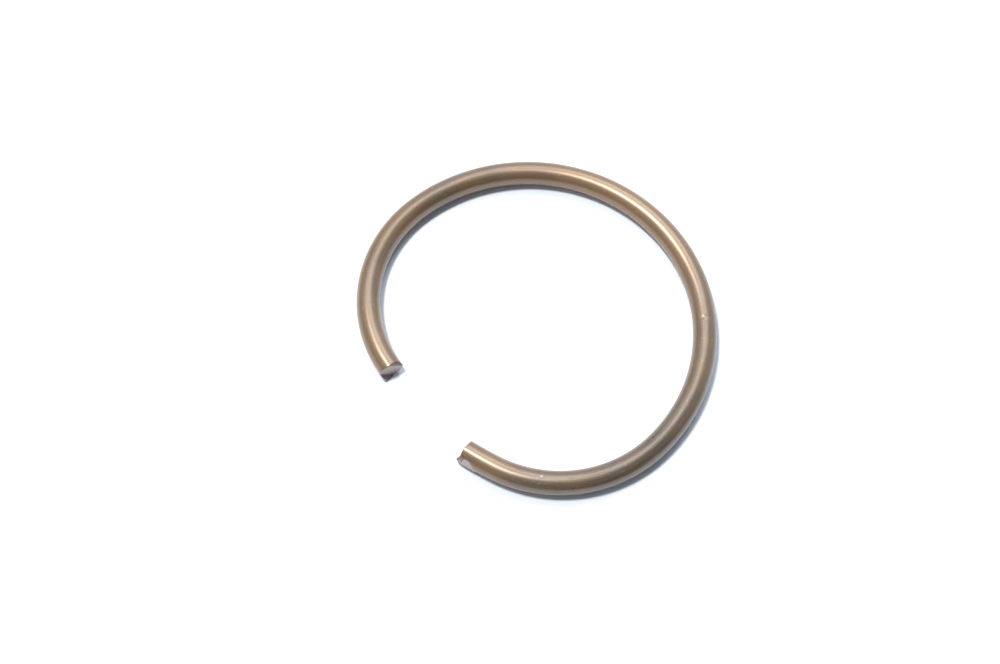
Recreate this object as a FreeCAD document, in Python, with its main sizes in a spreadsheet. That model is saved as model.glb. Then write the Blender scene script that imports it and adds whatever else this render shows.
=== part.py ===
import FreeCAD, Part
import math
import os
import Sketcher

# Open snap ring bent from one length of round spring wire.
# It lies flat: +Z is the ring's axis, and z = 0 is the middle of the wire's thickness.
# The origin is the centre of the back arc, and the open gap faces -Y.
# Lengths are in millimetres and angles in degrees.

# Driving sizes
SIZES = {
    "wire_diameter": 2.0,
    "back_radius": 14.75,
    "back_half_angle": 88.0,
    "end_radius": 11.33,
    "gap_width": 9.4,
    "gap_flare_angle": 17.0,
    "shear_tilt": 40.0,
    "shear_height": 1.6,
    "rollover_radius": 0.45,
    "rollover_top": 1.1,
    "lip_angle": 52.0,
    "pinch_length": 1.5,
    "pinch_slope": 7.0,
    "pinch_lean": 8.0,
}

# Places worked out from the driving sizes
BREAK_ANGLE = "Sizes.back_half_angle * 1 deg"
CENTRE_SHIFT = "(Sizes.back_radius - Sizes.end_radius)"
END_CENTRE_X = f"{CENTRE_SHIFT} * sin({BREAK_ANGLE})"
END_CENTRE_Y = f"{CENTRE_SHIFT} * cos({BREAK_ANGLE})"
GAP_DEPTH = f"(Sizes.end_radius - {END_CENTRE_Y})"
END_TURN = f"asin((Sizes.gap_width / 2 - {END_CENTRE_X}) / Sizes.end_radius)"
BENT_SWEEP = f"180 deg - {BREAK_ANGLE} - {END_TURN} + Sizes.wire_diameter / Sizes.end_radius * 1 rad"
PINCH_TURN = f"({END_TURN} + Sizes.pinch_length / Sizes.end_radius * 1 rad)"
PINCH_LEAN = "Sizes.pinch_lean * 1 deg"
LIP_ANGLE = "Sizes.lip_angle * 1 deg"

# Directions within a sketch
ACROSS = FreeCAD.Vector(1, 0, 0)
UPRIGHT = FreeCAD.Vector(0, 1, 0)


def write_sheet(doc):
    """Puts each driving size in the sheet, under its name as the alias."""
    sheet = doc.addObject("Spreadsheet::Sheet", "Sizes")
    for row, (name, value) in enumerate(SIZES.items(), start=1):
        sheet.set(f"A{row}", name)
        sheet.set(f"B{row}", str(value))
        sheet.setAlias(f"B{row}", name)
    doc.recompute()


def origin_item(body, role):
    """The body's own origin plane or axis that has this role."""
    return next(item for item in body.Origin.OriginFeatures if item.Role == role)


def laid_on(body, kind, name, plane, axis):
    """A new sketch or plane lying on another plane, ready to be shifted there and turned about the axis."""
    item = body.newObject(kind, name)
    item.AttachmentSupport = [(plane, "")]
    item.MapMode = "FlatFace"
    item.AttachmentOffset = FreeCAD.Placement(FreeCAD.Vector(), FreeCAD.Rotation(axis, 1))
    return item


def sketch_on(body, name, role):
    """A new sketch on one of the body's origin planes, ready to be turned about its own upright."""
    return laid_on(body, "Sketcher::SketchObject", name, origin_item(body, role), UPRIGHT)


def bind(sketch, constraint, name, formula):
    """Adds a named driving constraint and ties it to the sheet."""
    index = sketch.addConstraint(constraint)
    sketch.renameConstraint(index, name)
    sketch.setExpression(f"Constraints.{name}", formula)


def wire_section(body, name, radius_name):
    """The wire's round cross-section, standing at one of the bend radii from the sketch's upright axis."""
    sketch = sketch_on(body, name, "YZ_Plane")
    reach = SIZES[radius_name]
    thickness = SIZES["wire_diameter"]
    centre = FreeCAD.Vector(reach, 0, 0)
    circle = sketch.addGeometry(Part.Circle(centre, FreeCAD.Vector(0, 0, 1), thickness / 2), False)
    sketch.addConstraint(Sketcher.Constraint("PointOnObject", circle, 3, -1))
    bind(sketch, Sketcher.Constraint("DistanceX", -1, 1, circle, 3, reach), "reach", f"Sizes.{radius_name}")
    bind(sketch, Sketcher.Constraint("Diameter", circle, thickness), "thickness", "Sizes.wire_diameter")
    return sketch


def back_arc(body):
    """The wide back of the ring, turned equally to both sides of +Y."""
    section = wire_section(body, "BackSection", "back_radius")
    section.AttachmentOffset = FreeCAD.Placement()
    arc = body.newObject("PartDesign::Revolution", "BackArc")
    arc.Profile = section
    arc.ReferenceAxis = (section, ["V_Axis"])
    arc.Midplane = True
    arc.setExpression("Angle", f"2 * {BREAK_ANGLE}")
    body.Document.recompute()


def end_arc(body):
    """The tighter arc on the +X side, which carries the wire on to one thickness past where it is cut."""
    section = wire_section(body, "EndSection", "end_radius")
    section.setExpression("AttachmentOffset.Base.x", END_CENTRE_Y)
    section.setExpression("AttachmentOffset.Base.z", END_CENTRE_X)
    section.setExpression("AttachmentOffset.Rotation.Angle", f"-{BREAK_ANGLE}")
    arc = body.newObject("PartDesign::Revolution", "EndArc")
    arc.Profile = section
    arc.ReferenceAxis = (section, ["V_Axis"])
    arc.Reversed = True
    arc.setExpression("Angle", BENT_SWEEP)
    body.Document.recompute()
    return arc


def mirrored(body, name, feature):
    """The same feature on the -X side."""
    mirror = body.newObject("PartDesign::Mirrored", name)
    mirror.Originals = [feature]
    mirror.MirrorPlane = (origin_item(body, "YZ_Plane"), [""])
    body.Tip = mirror
    body.Document.recompute()


def closed_outline(sketch, corners):
    """Straight lines from corner to corner and back to the first, joined at their ends."""
    points = [FreeCAD.Vector(x, y, 0) for x, y in corners]
    lines = [sketch.addGeometry(Part.LineSegment(points[i], points[(i + 1) % len(points)]), False)
             for i in range(len(points))]
    for i, line in enumerate(lines):
        sketch.addConstraint(Sketcher.Constraint("Coincident", line, 2, lines[(i + 1) % len(lines)], 1))
    return lines


def cut_profile(body):
    """What the cutter took away at the +X end, seen along the cut, with the metal on the sketch's +X side.

    The blade came in from above and from inside the ring. From there on: an edge that it rolled over, a
    straight sheared face, and a torn face that leans out to a lip under the outer side of the wire.
    """
    plane = laid_on(body, "PartDesign::Plane", "CutPlane", origin_item(body, "XZ_Plane"), UPRIGHT)
    plane.setExpression("AttachmentOffset.Base.x", "Sizes.gap_width / 2")
    plane.setExpression("AttachmentOffset.Base.z", GAP_DEPTH)
    plane.setExpression("AttachmentOffset.Rotation.Angle", "Sizes.gap_flare_angle * 1 deg")
    sketch = laid_on(body, "Sketcher::SketchObject", "CutProfile", plane, ACROSS)
    sketch.setExpression("AttachmentOffset.Rotation.Angle", "-Sizes.shear_tilt * 1 deg")
    thickness = SIZES["wire_diameter"]
    roll = SIZES["rollover_radius"]
    crest = SIZES["rollover_top"]
    reach = 2 * thickness
    tear = thickness / 2 - SIZES["shear_height"]
    lip = (tear + thickness) * math.tan(math.radians(SIZES["lip_angle"]))
    corners = [(-reach, thickness), (roll, thickness), (roll, crest), (0, crest - roll),
               (0, tear), (-lip, -thickness), (-reach, -thickness)]
    points = [FreeCAD.Vector(x, y, 0) for x, y in corners]
    arc_centre = FreeCAD.Vector(roll, crest - roll, 0)
    circle = Part.Circle(arc_centre, FreeCAD.Vector(0, 0, 1), roll)
    shapes = [Part.LineSegment(points[0], points[1]), Part.LineSegment(points[1], points[2]),
              Part.ArcOfCircle(circle, math.pi / 2, math.pi), Part.LineSegment(points[3], points[4]),
              Part.LineSegment(points[4], points[5]), Part.LineSegment(points[5], points[6]),
              Part.LineSegment(points[6], points[0])]
    top, wall, rolled, sheared, torn, bottom, far = [sketch.addGeometry(shape, False) for shape in shapes]
    joins = [(top, 2, wall, 1), (wall, 2, rolled, 1), (sheared, 2, torn, 1), (torn, 2, bottom, 1),
             (bottom, 2, far, 1), (far, 2, top, 1)]
    for join in joins:
        sketch.addConstraint(Sketcher.Constraint("Coincident", *join))
    sketch.addConstraint(Sketcher.Constraint("Tangent", rolled, 2, sheared, 1))
    sketch.addConstraint(Sketcher.Constraint("PointOnObject", sheared, 2, -2))
    for line in (top, bottom):
        sketch.addConstraint(Sketcher.Constraint("Horizontal", line))
    for line in (wall, sheared, far):
        sketch.addConstraint(Sketcher.Constraint("Vertical", line))
    sketch.addConstraint(Sketcher.Constraint("Vertical", rolled, 3, wall, 2))
    bind(sketch, Sketcher.Constraint("Radius", rolled, roll), "roll", "Sizes.rollover_radius")
    bind(sketch, Sketcher.Constraint("DistanceY", -1, 1, wall, 2, crest), "crest", "Sizes.rollover_top")
    bind(sketch, Sketcher.Constraint("DistanceY", -1, 1, top, 1, thickness), "above", "Sizes.wire_diameter")
    bind(sketch, Sketcher.Constraint("DistanceY", bottom, 1, -1, 1, thickness), "below",
         "Sizes.wire_diameter")
    bind(sketch, Sketcher.Constraint("DistanceX", far, 1, -1, 1, reach), "reach", "2 * Sizes.wire_diameter")
    bind(sketch, Sketcher.Constraint("DistanceY", sheared, 2, -1, 1, -tear), "shear",
         "Sizes.shear_height - Sizes.wire_diameter / 2")
    bind(sketch, Sketcher.Constraint("DistanceX", torn, 2, torn, 1, lip), "lip",
         f"(1.5 * Sizes.wire_diameter - Sizes.shear_height) * tan({LIP_ANGLE})")
    return sketch


def cut_end(body):
    """The parting cut through the +X end of the wire."""
    cut = body.newObject("PartDesign::Pocket", "PartingCut")
    cut.Profile = cut_profile(body)
    cut.Midplane = True
    cut.setExpression("Length", "4 * Sizes.wire_diameter")
    body.Document.recompute()
    return cut


def pinch_profile(body):
    """The cutter's flat seen along itself, with the wire's centre at the sketch's origin and outside at +X.

    The flat starts where it just touches the wire, and leans back towards the top.
    """
    sketch = sketch_on(body, "PinchProfile", "XZ_Plane")
    sketch.setExpression("AttachmentOffset.Base.x", f"{END_CENTRE_X} + Sizes.end_radius * sin{PINCH_TURN}")
    sketch.setExpression("AttachmentOffset.Base.z", f"Sizes.end_radius * cos{PINCH_TURN} - {END_CENTRE_Y}")
    sketch.setExpression("AttachmentOffset.Rotation.Angle",
                         f"{PINCH_TURN} - 90 deg - Sizes.pinch_slope * 1 deg")
    radius = SIZES["wire_diameter"] / 2
    lean = math.radians(SIZES["pinch_lean"])
    middle = radius / math.cos(lean)
    shift = 2 * radius * math.tan(lean)
    outside = middle + 4 * radius
    corners = [(middle + shift, -2 * radius), (outside, -2 * radius),
               (outside, 2 * radius), (middle - shift, 2 * radius)]
    bottom, far, top, flat = closed_outline(sketch, corners)
    for line in (bottom, top):
        sketch.addConstraint(Sketcher.Constraint("Horizontal", line))
    sketch.addConstraint(Sketcher.Constraint("Vertical", far))
    bind(sketch, Sketcher.Constraint("DistanceX", -1, 1, far, 1, outside), "outside",
         "3 * Sizes.wire_diameter")
    bind(sketch, Sketcher.Constraint("DistanceY", -1, 1, top, 1, 2 * radius), "above",
         "Sizes.wire_diameter")
    bind(sketch, Sketcher.Constraint("DistanceY", bottom, 1, -1, 1, 2 * radius), "below",
         "Sizes.wire_diameter")
    bind(sketch, Sketcher.Constraint("DistanceX", -1, 1, flat, 1, middle - shift), "top_reach",
         f"Sizes.wire_diameter * (0.5 / cos({PINCH_LEAN}) - tan({PINCH_LEAN}))")
    bind(sketch, Sketcher.Constraint("DistanceX", -1, 1, flat, 2, middle + shift), "bottom_reach",
         f"Sizes.wire_diameter * (0.5 / cos({PINCH_LEAN}) + tan({PINCH_LEAN}))")
    return sketch


def pinch(body):
    """The flat that the cutter pressed into the wire's outer side beside the +X end, deepest at the end."""
    flat = body.newObject("PartDesign::Pocket", "Pinch")
    flat.Profile = pinch_profile(body)
    flat.Midplane = True
    flat.setExpression("Length", "4 * Sizes.pinch_length")
    body.Document.recompute()


def snap_ring(doc):
    """The whole ring as one body: the bent wire, its two cut ends and the cutter's pinch."""
    body = doc.addObject("PartDesign::Body", "SnapRing")
    body.Label = "snap_ring"
    back_arc(body)
    mirrored(body, "OtherEndArc", end_arc(body))
    mirrored(body, "OtherPartingCut", cut_end(body))
    pinch(body)
    body.Placement = FreeCAD.Placement()
    return body


def check_document(doc):
    """Stops when any object of the document reports a fault."""
    for item in doc.Objects:
        if "Invalid" in item.State or "Error" in item.State:
            raise RuntimeError(f"{item.Name} is in state {item.State}")


def export_part(item):
    """Writes one finished part, after making sure that its solid is sound."""
    shape = item.Shape
    if shape.isNull() or not shape.isValid():
        raise RuntimeError(f"{item.Label} has no valid shape")
    shape.exportStep(f"parts/{item.Label}.step")


doc = FreeCAD.newDocument("snap_ring")
os.makedirs("parts", exist_ok=True)
write_sheet(doc)
ring = snap_ring(doc)
doc.recompute()
check_document(doc)
export_part(ring)
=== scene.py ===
import math

import bpy
import numpy as np
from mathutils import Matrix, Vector


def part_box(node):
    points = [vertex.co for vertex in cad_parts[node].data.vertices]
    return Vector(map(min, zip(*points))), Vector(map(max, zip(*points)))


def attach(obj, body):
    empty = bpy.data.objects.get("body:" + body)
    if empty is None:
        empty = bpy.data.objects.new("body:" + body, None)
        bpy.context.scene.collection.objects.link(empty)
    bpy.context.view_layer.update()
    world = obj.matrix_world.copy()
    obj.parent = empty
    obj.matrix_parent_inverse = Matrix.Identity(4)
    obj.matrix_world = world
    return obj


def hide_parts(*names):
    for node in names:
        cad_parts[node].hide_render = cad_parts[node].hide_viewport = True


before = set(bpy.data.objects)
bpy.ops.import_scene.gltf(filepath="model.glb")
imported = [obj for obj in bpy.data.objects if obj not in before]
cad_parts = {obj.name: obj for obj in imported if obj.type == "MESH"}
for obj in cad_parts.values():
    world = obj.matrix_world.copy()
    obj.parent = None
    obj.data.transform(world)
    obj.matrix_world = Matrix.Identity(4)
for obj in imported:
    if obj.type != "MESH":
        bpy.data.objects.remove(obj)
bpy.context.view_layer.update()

# Open snap ring of round spring wire, lying on a white table.
# Metres, in the CAD's frame: +Z is the ring's axis, and the gap faces -Y.

LOW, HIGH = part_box("snap_ring")
MM = 0.001

# The bent wire, with its main sizes read from the CAD box. LOW.y lies on a cut and not at the bottom of the
# end arc, which the gap takes away, so END_RADIUS comes out 0.09 mm short of the CAD's 11.33 mm.
WIRE_RADIUS = (HIGH.z - LOW.z) / 2
BACK_RADIUS = HIGH.y - WIRE_RADIUS
BACK_HALF_ANGLE = math.radians(88.0)
END_RADIUS = (BACK_RADIUS * math.cos(BACK_HALF_ANGLE) - LOW.y - WIRE_RADIUS) / (1 + math.cos(BACK_HALF_ANGLE))
BACK_HALF_LENGTH = BACK_RADIUS * BACK_HALF_ANGLE
END_CENTRE_X = (BACK_RADIUS - END_RADIUS) * math.sin(BACK_HALF_ANGLE)
END_CENTRE_Y = (BACK_RADIUS - END_RADIUS) * math.cos(BACK_HALF_ANGLE)

# The cut ends. END_RUN is nearly the wire's length from the middle of the back to a cut.
HALF_GAP = 4.7 * MM
END_RUN = BACK_HALF_LENGTH + END_RADIUS * (math.pi - BACK_HALF_ANGLE) - HALF_GAP + END_CENTRE_X
GAP_FLARE = math.radians(17.0)
SHEAR_TILT = math.radians(40.0)
SHEAR_HEIGHT = 1.6 * MM
ROLLOVER_RADIUS = 0.45 * MM
ROLLOVER_TOP = 1.1 * MM
LIP_ANGLE = math.radians(52.0)
HALFWAY = 0.5
RIM_ROUNDING = 0.05 * MM

# The cutter's pinch beside the +X end, measured back from the end and round from the ring's outside
PINCH_FAR = 1.75 * MM
PINCH_NEAR = 0.15 * MM
PINCH_NARROWS = (0.3 * MM, 0.7 * MM)
PINCH_TOP = math.radians(40.0)
PINCH_BOTTOM = math.radians(-32.0)
PINCH_FACING = math.radians(12.0)
PINCH_REACH = 0.93
PINCH_EDGE = 1.08
PINCH_BLEND = 0.16 * MM
PINCH_FOOT = 0.25
PINCH_CREST = 1.15
PINCH_CREST_FADE = 0.3
LEAST_COSINE = 0.1

# How the +X end springs outwards
SPRUNG_LENGTH = 2.6 * MM
SPRUNG_OUT = 0.2 * MM
SPRUNG_OVERRUN = 1.2

# Slight unevenness left by the coiling machine, and two marks from handling
WAVE_DEPTH = 0.006 * MM
WAVE_LENGTHS = (3.1 * MM, 4.7 * MM, 7.9 * MM)
WAVE_OFFSET = 1.7
SKIN_POWER = 4
NICK = {"run": 32.75 * MM, "turn": math.radians(98), "long": 0.14 * MM, "wide": 0.12 * MM, "deep": 0.035 * MM}
SCORE = {"run": 10.3 * MM, "turn": math.radians(96), "long": 0.09 * MM, "wide": 0.4 * MM, "deep": 0.02 * MM}

# A mark this deep counts as fully pressed, and pressing shows only on the wire's skin
PRESSED_DEPTH = 0.03 * MM
SKIN_SHARE = 0.9

# How finely the wire is drawn. The outer RIM_SKIN_ROWS of each cut's rim still carry the skin.
TURN_STEPS = 112
RUN_STEPS = 800
RIM_STEPS = 6
RIM_SKIN_ROWS = 3
CAP_STEPS = 20
CAP_MIDDLE = 0.97
END_ZONE = 1.6 * MM
END_CROWDING = 0.4
END_TURN_GUESS = math.radians(85.5)
SOLVE_STEPS = 8

# Colours of the skin and of the cut faces, and how they shine. FILM_HEAT runs from the -X end to the +X end.
FILM_GOLDEN = (0.290, 0.150, 0.054, 1)
FILM_GREY = (0.126, 0.086, 0.053, 1)
FILM_THIN = (0.250, 0.180, 0.115, 1)
FILM_PALE = (0.40, 0.33, 0.27, 1)
FILM_DARK = (0.075, 0.055, 0.042, 1)
STEEL_BARE = (0.42, 0.35, 0.31, 1)
CUT_SHEARED = (0.47, 0.385, 0.34, 1)
# The torn lip's colour is partly its rough torn steel and partly painted shade, dark and mauve where the lip
# faces away from the light.
CUT_TORN_SHADED = (0.16, 0.11, 0.12, 1)
CUT_ROLLED = (0.17, 0.115, 0.085, 1)
CUT_STAIN = (0.30, 0.235, 0.20, 1)
FILM_HEAT = ((0.0, 0.75), (0.1, 0.6), (0.25, 0.35), (0.38, 0.75), (0.5, 1.0), (0.58, 0.8), (0.68, 0.3),
             (0.8, 0.05), (0.9, 0.3), (1.0, 0.7))
WIRE_ROUGHNESS = 0.34
ROUGHNESS_SPREAD = 0.05
WIRE_METALLIC = 0.4
FILM_COAT = 0.8
COAT_ROUGHNESS = 0.36
WIRE_GRAIN_DEPTH = 0.002 * MM
CUT_METALLIC = 0.7
CUT_GRAIN_DEPTH = 0.006 * MM
CUT_ZONES = ((0.0, CUT_TORN_SHADED), (0.19, CUT_TORN_SHADED), (0.25, CUT_SHEARED), (0.80, CUT_SHEARED), (0.86, CUT_ROLLED))

# The clouds of the grain and of the patches: how many to the metre, their detail and their roughness
STREAKS = (7000.0, 4.0, 0.65)
SPECKS = (5200.0, 3.0, 0.6)
PATCHES = (230.0, 2.0, 0.55)

# How high the specks stand beside the streaks, and how much longer than wide the streaks are
SPECK_HEIGHT = 1.4
WIRE_STRETCH = 30.0
CUT_STRETCH = 0.3

# How each mask turns into a mix or a roughness: from low and high of the mask to low and high of the result
GOLDEN_BY_PATCHES = (0.3, 0.7, -0.25, 0.25)
THIN_BY_STREAKS = (0.35, 0.65, 0.0, 0.5)
PALE_BY_SPECKS = (0.62, 0.72, 0.0, 0.5)
DARK_BY_SPECKS = (0.28, 0.38, 0.35, 0.0)
BARE_BY_PRESSING = (0.4, 0.9, 0.0, 0.85)
DULL_BY_STREAKS = (0.3, 0.7, -ROUGHNESS_SPREAD, ROUGHNESS_SPREAD)
DULL_BY_SPECKS = (0.3, 0.7, WIRE_ROUGHNESS - ROUGHNESS_SPREAD, WIRE_ROUGHNESS + ROUGHNESS_SPREAD)
RAGGED_BY_SPECKS = (0, 1, -0.05, 0.05)
STAIN_BY_STREAKS = (0.35, 0.65, 0.0, 0.35)
DULL_BY_BLADE_WAY = (0.19, 0.27, 0.62, 0.45)

# The room: wide soft patches of pale light, each by azimuth, elevation and brightness, and dark elsewhere.
# The six brightnesses are what a least-squares fit to the photograph's tones gave, times 3 and rounded.
LOW_BEHIND = (0, 12, 0.48)
LOW_RIGHT = (-60, 12, 0.78)
HIGH_BEHIND = (0, 42, 0.69)
HIGH_LEFT = (72, 42, 0.78)
HIGH_FRONT_LEFT = (144, 42, 0.36)
HIGH_RIGHT = (-72, 42, 0.15)
ROOM_PATCHES = (LOW_BEHIND, LOW_RIGHT, HIGH_BEHIND, HIGH_LEFT, HIGH_FRONT_LEFT, HIGH_RIGHT)
PATCH_INNER = 8
PATCH_OUTER = 48
ROOM_BLUE = (0.86, 0.96, 1.12)

# The lamps: a hard window light from the left, a small lamp behind, and a pale wall behind to the right
LAMP_DISTANCE = 0.6
WINDOW = {"azimuth": 66, "elevation": 74, "size": 0.11, "power": 3.0, "colour": (0.97, 1.0, 1.04)}
LAMP = {"azimuth": 15, "elevation": 60, "size": 0.1, "power": 0.08, "colour": (0.88, 1.0, 1.15)}
WALL = {"azimuth": -20, "elevation": 54, "size": 0.28, "power": 1.0, "colour": (0.86, 1.0, 1.15)}

# The white table
TABLE_HALF = 0.6
TABLE_WHITE = (0.89, 0.90, 0.92, 1)
TABLE_ROUGHNESS = 0.9

# The camera, fitted to the photograph of 1000 x 664 pixels. FOCAL_PIXELS was chosen from four values tried.
PHOTO_WIDTH = 1000
PHOTO_CENTRE = (500.0, 332.0)
FOCAL_PIXELS = 1700.0
RING_CENTRE_PIXEL = (528.6, 327.0)
PIXELS_PER_BACK_RADIUS = 176.2
VIEW_AZIMUTH = math.radians(48.1)
VIEW_ELEVATION = math.radians(65.8)
SENSOR_WIDTH = 36.0
NEAREST_SEEN = 0.005
FARTHEST_SEEN = 10.0


def centre_line(run):
    """The wire's centre line and its outward direction at signed lengths from the middle of the back.

    Up to BACK_HALF_LENGTH the point turns about the origin on BACK_RADIUS. Past it, it turns about the end
    arc's own centre on END_RADIUS. The heading is the angle turned from +Y, towards +X where run is positive.
    """
    side = np.where(run < 0, -1.0, 1.0)
    length = np.abs(run)
    past = length > BACK_HALF_LENGTH
    heading = np.where(past, BACK_HALF_ANGLE + (length - BACK_HALF_LENGTH) / END_RADIUS, length / BACK_RADIUS)
    radius = np.where(past, END_RADIUS, BACK_RADIUS)
    across = np.sin(heading)
    along = np.cos(heading)
    x = side * (np.where(past, END_CENTRE_X, 0.0) + radius * across)
    y = np.where(past, END_CENTRE_Y, 0.0) + radius * along
    return x, y, side * across, along


def cut_depth(height):
    """How far the end face stands back from the parting line at each height along the blade's way.

    From where the blade came in: a quarter round of ROLLOVER_RADIUS, a straight stretch at zero, and below
    the shear a slope of LIP_ANGLE that stands out as a lip.
    """
    roll_start = ROLLOVER_TOP - ROLLOVER_RADIUS
    tear_start = WIRE_RADIUS - SHEAR_HEIGHT
    rise = np.clip(height - roll_start, 0.0, ROLLOVER_RADIUS)
    rolled = ROLLOVER_RADIUS - np.sqrt(ROLLOVER_RADIUS ** 2 - rise ** 2)
    torn = np.minimum(height - tear_start, 0.0) * math.tan(LIP_ANGLE)
    return rolled + torn


def end_run(share, turn, side):
    """Length from mid-back to the end face, for points at a share of the wire's radius and an angle round it.

    Repeated steps bring each point to where its distance from the parting line, measured square to it, equals
    cut_depth plus the rim's rounding, which is a quarter round over the outermost RIM_ROUNDING. The height
    that counts for cut_depth leans by SHEAR_TILT, as the blade came from above and from inside the ring.
    """
    rise = share * WIRE_RADIUS * np.sin(turn)
    reach = share * WIRE_RADIUS * np.cos(turn)
    rim = np.clip((share * WIRE_RADIUS - (WIRE_RADIUS - RIM_ROUNDING)) / RIM_ROUNDING, 0.0, 1.0)
    rounding = RIM_ROUNDING * (1 - np.sqrt(1 - rim ** 2))
    length = np.full(rise.shape, BACK_HALF_LENGTH + END_RADIUS * END_TURN_GUESS)
    for _ in range(SOLVE_STEPS):
        x, y, out_x, out_y = centre_line(length)
        across = x + reach * out_x - HALF_GAP
        along = y + reach * out_y - (END_CENTRE_Y - END_RADIUS)
        distance = across * math.cos(GAP_FLARE) + along * math.sin(GAP_FLARE)
        aside = across * math.sin(GAP_FLARE) - along * math.cos(GAP_FLARE)
        wanted = cut_depth(rise * math.cos(SHEAR_TILT) - aside * math.sin(SHEAR_TILT)) + rounding
        pace = (out_y * math.cos(GAP_FLARE) - out_x * math.sin(GAP_FLARE)) * (1 + reach / END_RADIUS)
        length = length - (distance - wanted) / pace
    return side * length


def step_up(value, start, width):
    """Smooth step from 0 to 1 over the width past the start."""
    share = np.clip((value - start) / width, 0.0, 1.0)
    return share * share * (3 - 2 * share)


def pinched_share(run, turn, share):
    """The share of the wire's radius where the cutter squeezed it flat beside the +X end.

    The flat is a plane facing PINCH_FACING, at PINCH_REACH of the radius from the centre line, so its share
    is the reach over the cosine of the angle from there, and at most PINCH_EDGE where the metal it pushed
    aside stands up along its bottom. Its outline narrows by PINCH_NARROWS from bottom to top. It fades in
    over PINCH_FOOT of its height below the bottom, and out over PINCH_CREST_FADE up to PINCH_CREST.
    """
    turn = (turn + math.pi) % (2 * math.pi) - math.pi
    climb = (turn - PINCH_BOTTOM) / (PINCH_TOP - PINCH_BOTTOM)
    back = END_RUN - run
    lengthwise = (step_up(back, PINCH_NEAR + PINCH_NARROWS[0] * climb, PINCH_BLEND)
                  * step_up(-back, PINCH_NARROWS[1] * climb - PINCH_FAR, PINCH_BLEND))
    footed = step_up(climb, -PINCH_FOOT, PINCH_FOOT)
    crested = step_up(-climb, -PINCH_CREST, PINCH_CREST_FADE)
    inside = lengthwise * footed * crested
    flat = np.minimum(PINCH_REACH / np.maximum(np.cos(turn - PINCH_FACING), LEAST_COSINE), PINCH_EDGE)
    return share * (1 + inside * (flat - 1) * share ** SKIN_POWER), inside


def sprung(points, run):
    """The last SPRUNG_LENGTH at the +X end moved outwards, as the square of the length, to SPRUNG_OUT."""
    share = np.clip((run - (END_RUN - SPRUNG_LENGTH)) / SPRUNG_LENGTH, 0.0, SPRUNG_OVERRUN)
    _, _, out_x, out_y = centre_line(run)
    outward = np.stack([out_x, out_y, np.zeros_like(run)], axis=-1)
    return points + (SPRUNG_OUT * share ** 2)[..., None] * outward


def hollow(run, turn, mark):
    """Depth of one small mark: a bell curve along the wire times a bell curve round it."""
    along = (run - mark["run"]) / mark["long"]
    around = (turn - mark["turn"]) * WIRE_RADIUS / mark["wide"]
    return mark["deep"] * np.exp(-along ** 2 - around ** 2)


def uneven_share(run, turn, share):
    """The share of the wire's radius after the coiler's waves and the two marks.

    Each wave is a sine of the length plus a multiple of the angle, so it winds round the wire. Waves and
    marks fade out on the end faces, as the share to the power SKIN_POWER.
    """
    waves = sum(np.sin(2 * math.pi * run / length + (order + 1) * turn + WAVE_OFFSET * order)
                for order, length in enumerate(WAVE_LENGTHS))
    marks = hollow(run, turn, NICK) + hollow(run, turn, SCORE)
    worn = WAVE_DEPTH * (1 - waves / len(WAVE_LENGTHS)) / 2 + marks
    return share * (1 - worn / WIRE_RADIUS * share ** SKIN_POWER)


def ring_rows():
    """Rows of (length, angle, share of the radius) from the middle of one end face to that of the other.

    Each cap row shrinks towards its face's middle. The tube's stations are even steps mixed with a sine, so
    they crowd towards the ends, and over the END_ZONE they slide so that the last one lies on the cut.
    """
    turn = np.arange(TURN_STEPS) * (2 * math.pi / TURN_STEPS)
    rim = RIM_ROUNDING / WIRE_RADIUS
    rim_steps = np.linspace(0, rim, RIM_STEPS)[1:]
    face_steps = np.linspace(rim, CAP_MIDDLE, CAP_STEPS)[1:]
    shrink = 1 - np.concatenate([rim_steps, face_steps])
    ends = {side: end_run(np.ones(TURN_STEPS), turn, side) for side in (-1, 1)}
    mean = float(ends[1].mean())
    even = np.linspace(-1, 1, RUN_STEPS)
    base = mean * ((1 - END_CROWDING) * even + END_CROWDING * np.sin(even * math.pi / 2))
    slide = step_up(np.abs(base), mean - END_ZONE, END_ZONE)
    gap = np.where(base[:, None] < 0, ends[-1][None, :] + mean, ends[1][None, :] - mean)
    tube_run = base[:, None] + slide[:, None] * gap
    cap_turn, cap_share = np.meshgrid(turn, shrink)
    low_cap = end_run(cap_share, cap_turn, -1)[::-1]
    high_cap = end_run(cap_share, cap_turn, 1)
    run = np.concatenate([low_cap, tube_run, high_cap])
    share = np.concatenate([cap_share[::-1], np.ones_like(tube_run), cap_share])
    angle = np.broadcast_to(turn, run.shape)
    return run, angle, share


def wire_points(run, angle, share):
    """The point at each length, angle and share: the centre line plus the radius turned out and up."""
    x, y, out_x, out_y = centre_line(run)
    reach = share * WIRE_RADIUS * np.cos(angle)
    height = share * WIRE_RADIUS * np.sin(angle)
    return np.stack([x + reach * out_x, y + reach * out_y, height], axis=-1)


def make_mesh(name, points, faces, material_index):
    """A mesh object from whole arrays of points and faces, smooth shaded."""
    mesh = bpy.data.meshes.new(name)
    mesh.from_pydata(points.tolist(), [], faces)
    mesh.polygons.foreach_set("material_index", material_index)
    mesh.polygons.foreach_set("use_smooth", np.ones(len(faces), dtype=bool))
    mesh.update()
    piece = bpy.data.objects.new(name, mesh)
    bpy.context.scene.collection.objects.link(piece)
    return piece


def blade_way(run, angle, share):
    """How far along the blade's way each point lies: 0 where the cut tore out, 1 where the blade came in."""
    x, y, out_x, out_y = centre_line(np.abs(run))
    reach = share * WIRE_RADIUS * np.cos(angle)
    across = x + reach * out_x - HALF_GAP
    along = y + reach * out_y - (END_CENTRE_Y - END_RADIUS)
    aside = across * math.sin(GAP_FLARE) - along * math.cos(GAP_FLARE)
    rise = share * WIRE_RADIUS * np.sin(angle)
    return HALFWAY + (rise * math.cos(SHEAR_TILT) - aside * math.sin(SHEAR_TILT)) / (2 * WIRE_RADIUS)


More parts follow.
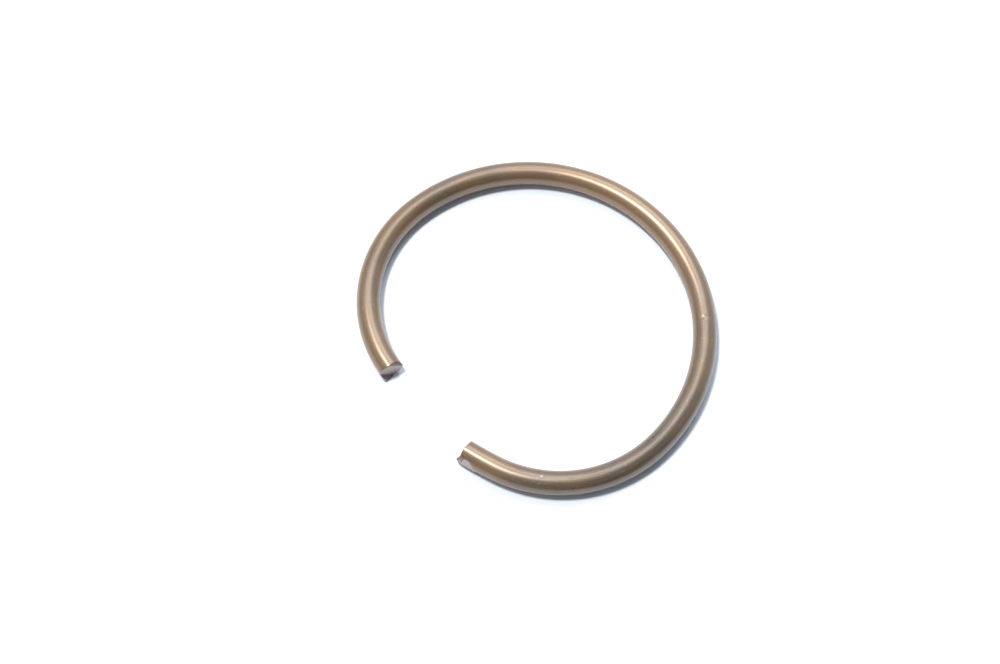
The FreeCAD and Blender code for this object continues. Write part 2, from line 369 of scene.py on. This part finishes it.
def keep_attribute(piece, name, kind, values):
    """Stores one value for each point of the mesh, for the materials to read."""
    attribute = piece.data.attributes.new(name, kind, "POINT")
    field = "value" if kind == "FLOAT" else "vector"
    attribute.data.foreach_set(field, np.asarray(values, dtype=float).ravel())


def snap_ring():
    """The whole wire as one closed skin.

    Its points keep where they lie in the drawn wire, how far along the blade's way, and how hard the cutter
    or a blow has pressed them.
    """
    run, angle, share = ring_rows()
    squeezed, flat = pinched_share(run, angle, uneven_share(run, angle, share))
    points = sprung(wire_points(run, angle, squeezed), run)
    marks = (hollow(run, angle, NICK) + hollow(run, angle, SCORE)) / PRESSED_DEPTH
    pressed = np.maximum(flat, marks) * (share > SKIN_SHARE)
    rows, columns = run.shape
    poles = np.stack([points[0].mean(axis=0), points[-1].mean(axis=0)])
    index = np.arange(rows * columns).reshape(rows, columns)
    after = np.roll(index, -1, axis=1)
    quads = np.stack([index[:-1], after[:-1], after[1:], index[1:]], axis=-1).reshape(-1, 4)
    low_fan = np.stack([after[0], index[0], np.full(columns, rows * columns)], axis=-1)
    high_fan = np.stack([index[-1], after[-1], np.full(columns, rows * columns + 1)], axis=-1)
    faces = quads.tolist() + low_fan.tolist() + high_fan.tolist()
    bare_rows = (rows - RUN_STEPS) // 2 - RIM_SKIN_ROWS
    on_cap = np.zeros(rows - 1, dtype=np.int32)
    on_cap[:bare_rows] = 1
    on_cap[-bare_rows:] = 1
    material_index = np.concatenate([np.repeat(on_cap, columns), np.ones(2 * columns, dtype=np.int32)])
    piece = make_mesh("snap_ring_wire", np.concatenate([points.reshape(-1, 3), poles]), faces, material_index)
    lay = np.stack([WIRE_RADIUS * share * np.cos(angle), WIRE_RADIUS * share * np.sin(angle), run], axis=-1)
    middles = np.array([[0.0, 0.0, run[0].mean()], [0.0, 0.0, run[-1].mean()]])
    keep_attribute(piece, "lay", "FLOAT_VECTOR", np.concatenate([lay.reshape(-1, 3), middles]))
    way = np.append(blade_way(run, angle, share).ravel(), [HALFWAY, HALFWAY])
    keep_attribute(piece, "blade_way", "FLOAT", way)
    keep_attribute(piece, "pressed", "FLOAT", np.append(np.clip(pressed, 0, 1).ravel(), [0.0, 0.0]))
    return piece


def add_node(tree, kind, **settings):
    """One node of this kind with these settings."""
    node = tree.nodes.new(kind)
    for name, value in settings.items():
        setattr(node, name, value)
    return node


def noise(tree, vector, scale, detail, roughness):
    """A cloud texture over the vector, with this many clouds to the metre."""
    node = add_node(tree, "ShaderNodeTexNoise")
    node.inputs["Scale"].default_value = scale
    node.inputs["Detail"].default_value = detail
    node.inputs["Roughness"].default_value = roughness
    tree.links.new(vector, node.inputs["Vector"])
    return node.outputs["Fac"]


def ranged(tree, value, low, high, to_low, to_high):
    """The value carried from one range to another, held at both ends."""
    node = add_node(tree, "ShaderNodeMapRange")
    for name, number in (("From Min", low), ("From Max", high), ("To Min", to_low), ("To Max", to_high)):
        node.inputs[name].default_value = number
    tree.links.new(value, node.inputs["Value"])
    return node.outputs["Result"]


def calculated(tree, operation, first, second):
    """The sum, product or other result of two values, the second of which may be a plain number."""
    node = add_node(tree, "ShaderNodeMath", operation=operation)
    tree.links.new(first, node.inputs[0])
    if isinstance(second, float):
        node.inputs[1].default_value = second
    else:
        tree.links.new(second, node.inputs[1])
    return node.outputs[0]


def blended(tree, factor, first, second):
    """Two colours mixed by the factor. Each may be a socket or four plain numbers."""
    node = add_node(tree, "ShaderNodeMix", data_type="RGBA")
    tree.links.new(factor, node.inputs["Factor"])
    for socket, colour in ((node.inputs["A"], first), (node.inputs["B"], second)):
        if isinstance(colour, tuple):
            socket.default_value = colour
        else:
            tree.links.new(colour, socket)
    return node.outputs["Result"]


def colour_ramp(tree, place, stops):
    """The colour by place, from 0 to 1, through the stops."""
    ramp = add_node(tree, "ShaderNodeValToRGB")
    ramp.color_ramp.elements[0].position = stops[0][0]
    ramp.color_ramp.elements[1].position = stops[-1][0]
    for position, _ in stops[1:-1]:
        ramp.color_ramp.elements.new(position)
    for element, (_, colour) in zip(ramp.color_ramp.elements, stops):
        element.color = colour
    tree.links.new(place, ramp.inputs["Fac"])
    return ramp.outputs["Color"]


def steel_grain():
    """Shared group: grain drawn out along the third axis of the vector, over fine round specks.

    Stretch tells how much longer than wide the streaks are. It puts out both as masks and as one height.
    """
    group = bpy.data.node_groups.new("steel_grain", "ShaderNodeTree")
    group.interface.new_socket("Vector", in_out="INPUT", socket_type="NodeSocketVector")
    group.interface.new_socket("Stretch", in_out="INPUT", socket_type="NodeSocketFloat")
    for name in ("Streaks", "Specks", "Height"):
        group.interface.new_socket(name, in_out="OUTPUT", socket_type="NodeSocketFloat")
    given = add_node(group, "NodeGroupInput")
    result = add_node(group, "NodeGroupOutput")
    shrink = add_node(group, "ShaderNodeMath", operation="DIVIDE")
    shrink.inputs[0].default_value = 1.0
    group.links.new(given.outputs["Stretch"], shrink.inputs[1])
    scale = add_node(group, "ShaderNodeCombineXYZ")
    scale.inputs["X"].default_value = 1.0
    scale.inputs["Y"].default_value = 1.0
    group.links.new(shrink.outputs[0], scale.inputs["Z"])
    drawn = add_node(group, "ShaderNodeVectorMath", operation="MULTIPLY")
    group.links.new(given.outputs["Vector"], drawn.inputs[0])
    group.links.new(scale.outputs["Vector"], drawn.inputs[1])
    streaks = noise(group, drawn.outputs["Vector"], *STREAKS)
    specks = noise(group, given.outputs["Vector"], *SPECKS)
    height = calculated(group, "ADD", calculated(group, "MULTIPLY", specks, SPECK_HEIGHT), streaks)
    group.links.new(streaks, result.inputs["Streaks"])
    group.links.new(specks, result.inputs["Specks"])
    group.links.new(height, result.inputs["Height"])
    return group


def grain_node(tree, group, vector, stretch):
    """The shared grain laid over the vector."""
    node = add_node(tree, "ShaderNodeGroup", node_tree=group)
    node.inputs["Stretch"].default_value = stretch
    tree.links.new(vector, node.inputs["Vector"])
    return node.outputs


def point_value(tree, name, output="Fac"):
    """What keep_attribute stored under this name."""
    return add_node(tree, "ShaderNodeAttribute", attribute_name=name).outputs[output]


def roughened(tree, shader, height, depth):
    """Raises the shader's surface by the height, at most by the depth in metres."""
    bump = add_node(tree, "ShaderNodeBump")
    bump.inputs["Strength"].default_value = 1.0
    bump.inputs["Distance"].default_value = depth
    tree.links.new(height, bump.inputs["Height"])
    tree.links.new(bump.outputs["Normal"], shader.inputs["Normal"])


def new_material(name):
    """A node material with its tree and its main shader."""
    material = bpy.data.materials.new(name)
    material.use_nodes = True
    return material, material.node_tree, material.node_tree.nodes["Principled BSDF"]


def wire_material(group):
    """Drawn spring steel under a thin brown temper film, golden in places and greyer in others."""
    material, tree, shader = new_material("drawn_spring_steel")
    lay = point_value(tree, "lay", "Vector")
    grain = grain_node(tree, group, lay, WIRE_STRETCH)
    split = add_node(tree, "ShaderNodeSeparateXYZ")
    tree.links.new(lay, split.inputs["Vector"])
    heat_stops = [(place, (level, level, level, 1)) for place, level in FILM_HEAT]
    heat = colour_ramp(tree, ranged(tree, split.outputs["Z"], -END_RUN, END_RUN, 0.0, 1.0), heat_stops)
    patches = ranged(tree, noise(tree, lay, *PATCHES), *GOLDEN_BY_PATCHES)
    film = blended(tree, calculated(tree, "ADD", heat, patches), FILM_GREY, FILM_GOLDEN)
    streaked = blended(tree, ranged(tree, grain["Streaks"], *THIN_BY_STREAKS), film, FILM_THIN)
    specked = blended(tree, ranged(tree, grain["Specks"], *PALE_BY_SPECKS), streaked, FILM_PALE)
    dusky = blended(tree, ranged(tree, grain["Specks"], *DARK_BY_SPECKS), specked, FILM_DARK)
    bare = ranged(tree, point_value(tree, "pressed"), *BARE_BY_PRESSING)
    tree.links.new(blended(tree, bare, dusky, STEEL_BARE), shader.inputs["Base Color"])
    dull = calculated(tree, "ADD", ranged(tree, grain["Streaks"], *DULL_BY_STREAKS),
                      ranged(tree, grain["Specks"], *DULL_BY_SPECKS))
    tree.links.new(dull, shader.inputs["Roughness"])
    shader.inputs["Metallic"].default_value = WIRE_METALLIC
    shader.inputs["Coat Weight"].default_value = FILM_COAT
    shader.inputs["Coat Roughness"].default_value = COAT_ROUGHNESS
    roughened(tree, shader, grain["Height"], WIRE_GRAIN_DEPTH)
    return material


def cut_material(group):
    """The cut faces: rolled brown skin where the blade came in, pale sheared steel, and a torn lip that is
    dark partly from its rough torn steel and partly from painted shade.
    """
    material, tree, shader = new_material("cut_steel")
    grain = grain_node(tree, group, point_value(tree, "lay", "Vector"), CUT_STRETCH)
    wander = ranged(tree, grain["Specks"], *RAGGED_BY_SPECKS)
    ragged = calculated(tree, "ADD", point_value(tree, "blade_way"), wander)
    zones = colour_ramp(tree, ragged, CUT_ZONES)
    worn = blended(tree, ranged(tree, grain["Streaks"], *STAIN_BY_STREAKS), zones, CUT_STAIN)
    tree.links.new(worn, shader.inputs["Base Color"])
    tree.links.new(ranged(tree, ragged, *DULL_BY_BLADE_WAY), shader.inputs["Roughness"])
    shader.inputs["Metallic"].default_value = CUT_METALLIC
    roughened(tree, shader, grain["Height"], CUT_GRAIN_DEPTH)
    return material


def floor():
    """A wide white table top that just touches the wire's underside."""
    corners = ((-1, -1), (1, -1), (1, 1), (-1, 1))
    mesh = bpy.data.meshes.new("table_top")
    mesh.from_pydata([(x * TABLE_HALF, y * TABLE_HALF, LOW.z) for x, y in corners], [], [(0, 1, 2, 3)])
    table = bpy.data.objects.new("table_top", mesh)
    bpy.context.scene.collection.objects.link(table)
    material, _, shader = new_material("white_table")
    shader.inputs["Base Color"].default_value = TABLE_WHITE
    shader.inputs["Roughness"].default_value = TABLE_ROUGHNESS
    shader.inputs["Specular IOR Level"].default_value = 0.0
    mesh.materials.append(material)


def view_axes():
    """The camera's right, down and forward directions, looking from VIEW_AZIMUTH round from -Y and down."""
    right = Vector((math.cos(VIEW_AZIMUTH), math.sin(VIEW_AZIMUTH), 0))
    level = Vector((-math.sin(VIEW_AZIMUTH), math.cos(VIEW_AZIMUTH), 0))
    forward = level * math.cos(VIEW_ELEVATION) - Vector((0, 0, math.sin(VIEW_ELEVATION)))
    return right, forward.cross(right), forward


def camera():
    """The photograph's view: its pixels per back radius set the distance, and the ring's centre its aim."""
    right, down, forward = view_axes()
    distance = FOCAL_PIXELS / PIXELS_PER_BACK_RADIUS * BACK_RADIUS
    across = (RING_CENTRE_PIXEL[0] - PHOTO_CENTRE[0]) / FOCAL_PIXELS * distance
    below = (RING_CENTRE_PIXEL[1] - PHOTO_CENTRE[1]) / FOCAL_PIXELS * distance
    data = bpy.data.cameras.new("photo_camera")
    data.sensor_width = SENSOR_WIDTH
    data.lens = FOCAL_PIXELS / PHOTO_WIDTH * SENSOR_WIDTH
    data.clip_start = NEAREST_SEEN
    data.clip_end = FARTHEST_SEEN
    seer = bpy.data.objects.new("photo_camera", data)
    seer.location = -(right * across + down * below + forward * distance)
    seer.rotation_euler = forward.to_track_quat("-Z", "Y").to_euler()
    bpy.context.scene.collection.objects.link(seer)
    bpy.context.scene.camera = seer


def towards(azimuth, elevation):
    """A direction from the ring, its azimuth turned left from straight behind as the camera sees it."""
    heading = VIEW_AZIMUTH + math.radians(90 + azimuth)
    lift = math.radians(elevation)
    return Vector((math.cos(heading) * math.cos(lift), math.sin(heading) * math.cos(lift), math.sin(lift)))


def round_light(name, azimuth, elevation, size, power, colour):
    """A round light aimed at the ring from LAMP_DISTANCE."""
    data = bpy.data.lights.new(name, "AREA")
    data.shape = "DISK"
    data.size = size
    data.energy = power
    data.color = colour
    lamp = bpy.data.objects.new(name, data)
    lamp.location = towards(azimuth, elevation) * LAMP_DISTANCE
    lamp.rotation_euler = (-lamp.location).to_track_quat("-Z", "Y").to_euler()
    bpy.context.scene.collection.objects.link(lamp)


def facing(tree, direction, aim):
    """How squarely the direction points along the aim, from -1 to 1."""
    node = add_node(tree, "ShaderNodeVectorMath", operation="DOT_PRODUCT")
    node.inputs[1].default_value = aim
    tree.links.new(direction, node.inputs[0])
    return node.outputs["Value"]


def room_light():
    """The room as the ring mirrors it: the sum of the soft patches, each fading out between two angles."""
    world = bpy.data.worlds.new("pale_room")
    world.use_nodes = True
    tree = world.node_tree
    direction = add_node(tree, "ShaderNodeTexCoord").outputs["Generated"]
    edge = math.cos(math.radians(PATCH_OUTER))
    core = math.cos(math.radians(PATCH_INNER))
    patches = [ranged(tree, facing(tree, direction, towards(azimuth, elevation)), edge, core, 0.0, bright)
               for azimuth, elevation, bright in ROOM_PATCHES]
    total = patches[0]
    for patch in patches[1:]:
        total = calculated(tree, "ADD", total, patch)
    tinted = add_node(tree, "ShaderNodeVectorMath", operation="SCALE")
    tinted.inputs[0].default_value = ROOM_BLUE
    tree.links.new(total, tinted.inputs["Scale"])
    background = tree.nodes["Background"]
    tree.links.new(tinted.outputs["Vector"], background.inputs["Color"])
    background.inputs["Strength"].default_value = 1.0
    bpy.context.scene.world = world


ring = snap_ring()
grain = steel_grain()
ring.data.materials.append(wire_material(grain))
ring.data.materials.append(cut_material(grain))
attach(ring, "root")
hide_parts("snap_ring")

floor()
camera()
room_light()
round_light("lamp_behind", **LAMP)
round_light("window_left", **WINDOW)
round_light("wall_right", **WALL)
bpy.context.scene.view_settings.view_transform = "Standard"
